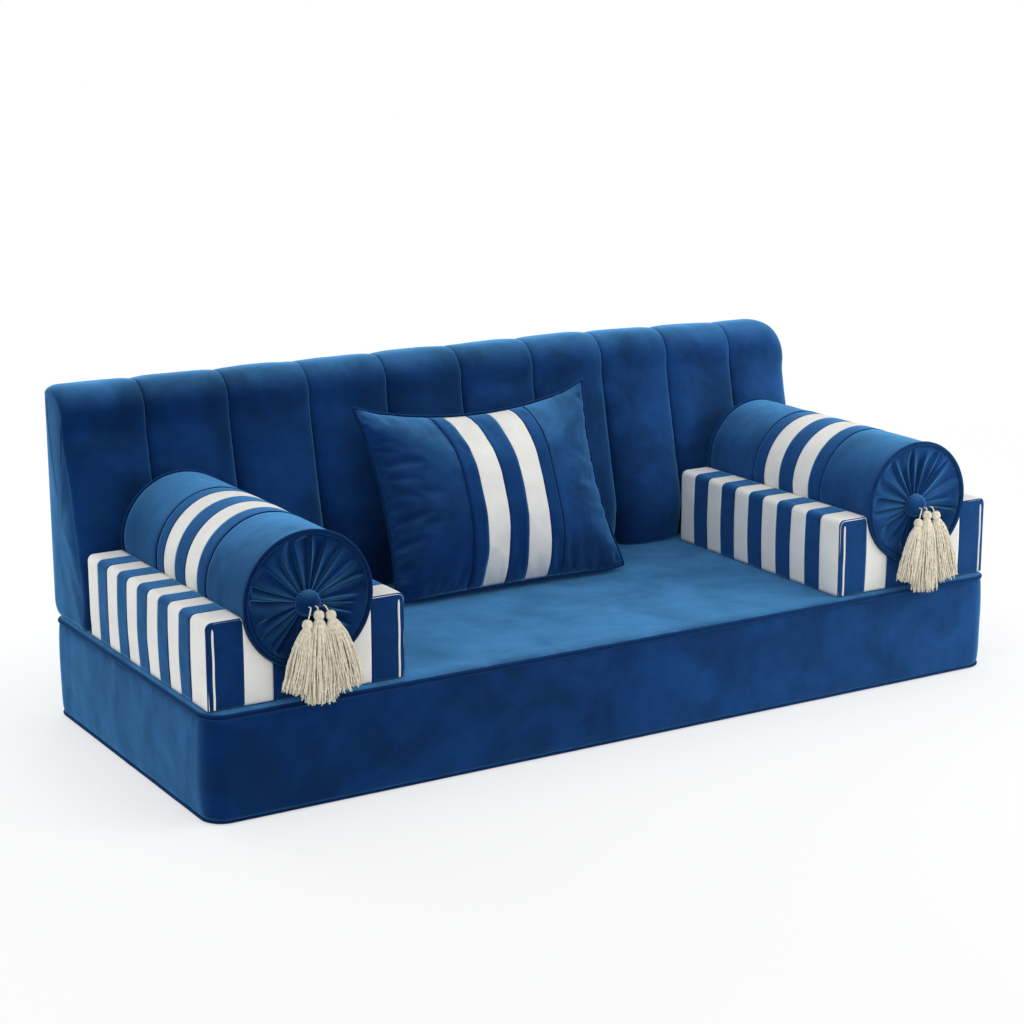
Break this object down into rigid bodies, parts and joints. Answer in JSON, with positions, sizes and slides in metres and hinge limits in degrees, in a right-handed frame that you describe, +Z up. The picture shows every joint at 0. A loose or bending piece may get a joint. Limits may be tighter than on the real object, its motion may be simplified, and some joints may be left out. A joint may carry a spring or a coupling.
{
  "type": "majlis floor sofa",
  "caption": "Low floor sofa: a thick seat cushion with a channelled back cushion, striped arm cushions that carry tasselled bolsters, and a loose striped throw pillow.",
  "frame": {"origin": "centre of the base cushion's footprint, on the floor", "axes": "+X along the seat, to the right for someone facing the sofa; -Y towards the front; +Y towards the wall behind; +Z up"},
  "size_m": [1.762, 0.7715, 0.6554],
  "materials": {
    "blue_velvet": "velvet pile, royal blue",
    "white_cotton": "plain cotton, off-white",
    "cream_yarn": "loose cotton yarn",
    "foam": "soft foam block",
    "fibre_fill": "loose fibre filling",
    "lining_cloth": "plain woven lining",
    "zip_nylon": "matte",
    "zip_metal": "satin"
  },
  "bodies": {
    "base": {"base_foam_core": "foam", "base_top_panel": "blue_velvet", "base_side_band": "blue_velvet", "base_bottom_panel": "lining_cloth", "base_top_piping": "blue_velvet", "base_bottom_piping": "blue_velvet", "base_zip": "zip_nylon"},
    "base_zip_pull": {"base_zip_slider": "zip_metal"},
    "back": {"back_foam_core": "foam", "back_channel_panel": "blue_velvet", "back_rear_panel": "lining_cloth", "back_end_panels": "blue_velvet", "back_bottom_panel": "lining_cloth", "back_zip": "zip_nylon"},
    "back_zip_pull": {"back_zip_slider": "zip_metal"},
    "left_arm": {"left_arm_foam_core": "foam", "left_arm_white_stripes": "white_cotton", "left_arm_blue_stripes": "blue_velvet", "left_arm_front_blue_panels": "blue_velvet", "left_arm_front_white_panels": "white_cotton", "left_arm_front_piping": "white_cotton", "left_arm_rear_panel": "blue_velvet", "left_arm_bottom_panel": "lining_cloth"},
    "left_bolster": {"left_bolster_core": "foam", "left_bolster_velvet_sleeves": "blue_velvet", "left_bolster_blue_bands": "blue_velvet", "left_bolster_white_bands": "white_cotton", "left_bolster_piping": "blue_velvet", "left_bolster_end_discs": "blue_velvet", "left_bolster_buttons": "blue_velvet"},
    "left_tassel_1": {"left_tassel_1": "cream_yarn"},
    "left_tassel_2": {"left_tassel_2": "cream_yarn"},
    "left_tassel_3": {"left_tassel_3": "cream_yarn"},
    "right_arm": {"right_arm_foam_core": "foam", "right_arm_white_stripes": "white_cotton", "right_arm_blue_stripes": "blue_velvet", "right_arm_front_blue_panels": "blue_velvet", "right_arm_front_white_panels": "white_cotton", "right_arm_front_piping": "white_cotton", "right_arm_rear_panel": "blue_velvet", "right_arm_bottom_panel": "lining_cloth"},
    "right_bolster": {"right_bolster_core": "foam", "right_bolster_velvet_sleeves": "blue_velvet", "right_bolster_blue_bands": "blue_velvet", "right_bolster_white_bands": "white_cotton", "right_bolster_piping": "blue_velvet", "right_bolster_end_discs": "blue_velvet", "right_bolster_buttons": "blue_velvet"},
    "right_tassel_1": {"right_tassel_1": "cream_yarn"},
    "right_tassel_2": {"right_tassel_2": "cream_yarn"},
    "right_tassel_3": {"right_tassel_3": "cream_yarn"},
    "pillow": {"pillow_fill": "fibre_fill", "pillow_white_bands": "white_cotton", "pillow_blue_bands": "blue_velvet", "pillow_front_velvet": "blue_velvet", "pillow_seam_piping": "blue_velvet", "pillow_back_panel": "blue_velvet", "pillow_edge_piping": "blue_velvet"}
  },
  "joints": [
    {"name": "base_zip_slide", "type": "slide", "parent": "base", "child": "base_zip_pull", "axis": [-1, 0, 0], "range_m": [0, 1.4]},
    {"name": "back_lift", "type": "slide", "parent": "base", "child": "back", "axis": [0, 0.3007, 0.9537], "range_m": [0, 0.45]},
    {"name": "back_zip_slide", "type": "slide", "parent": "back", "child": "back_zip_pull", "axis": [-1, 0, 0], "range_m": [0, 1.4]},
    {"name": "left_arm_lift", "type": "slide", "parent": "base", "child": "left_arm", "axis": [0, 0, 1], "range_m": [0, 0.3]},
    {"name": "left_bolster_lift", "type": "slide", "parent": "left_arm", "child": "left_bolster", "axis": [0, 0, 1], "range_m": [0, 0.3]},
    {"name": "left_tassel_1_swing", "type": "hinge", "parent": "left_bolster", "child": "left_tassel_1", "pos_m": [-0.68862, -0.387, 0.367], "axis": [-1, 0, 0], "range_deg": [0, 60]},
    {"name": "left_tassel_2_swing", "type": "hinge", "parent": "left_bolster", "child": "left_tassel_2", "pos_m": [-0.67662, -0.387, 0.367], "axis": [-1, 0, 0], "range_deg": [0, 60]},
    {"name": "left_tassel_3_swing", "type": "hinge", "parent": "left_bolster", "child": "left_tassel_3", "pos_m": [-0.6615, -0.387, 0.367], "axis": [-1, 0, 0], "range_deg": [0, 60]},
    {"name": "right_arm_lift", "type": "slide", "parent": "base", "child": "right_arm", "axis": [0, 0, 1], "range_m": [0, 0.3]},
    {"name": "right_bolster_lift", "type": "slide", "parent": "right_arm", "child": "right_bolster", "axis": [0, 0, 1], "range_m": [0, 0.3]},
    {"name": "right_tassel_1_swing", "type": "hinge", "parent": "right_bolster", "child": "right_tassel_1", "pos_m": [0.67038, -0.387, 0.367], "axis": [-1, 0, 0], "range_deg": [0, 60]},
    {"name": "right_tassel_2_swing", "type": "hinge", "parent": "right_bolster", "child": "right_tassel_2", "pos_m": [0.68238, -0.387, 0.367], "axis": [-1, 0, 0], "range_deg": [0, 60]},
    {"name": "right_tassel_3_swing", "type": "hinge", "parent": "right_bolster", "child": "right_tassel_3", "pos_m": [0.6975, -0.387, 0.367], "axis": [-1, 0, 0], "range_deg": [0, 60]},
    {"name": "pillow_lift", "type": "slide", "parent": "base", "child": "pillow", "axis": [0, -0.4226, 0.9063], "range_m": [0, 0.35]}
  ]
}
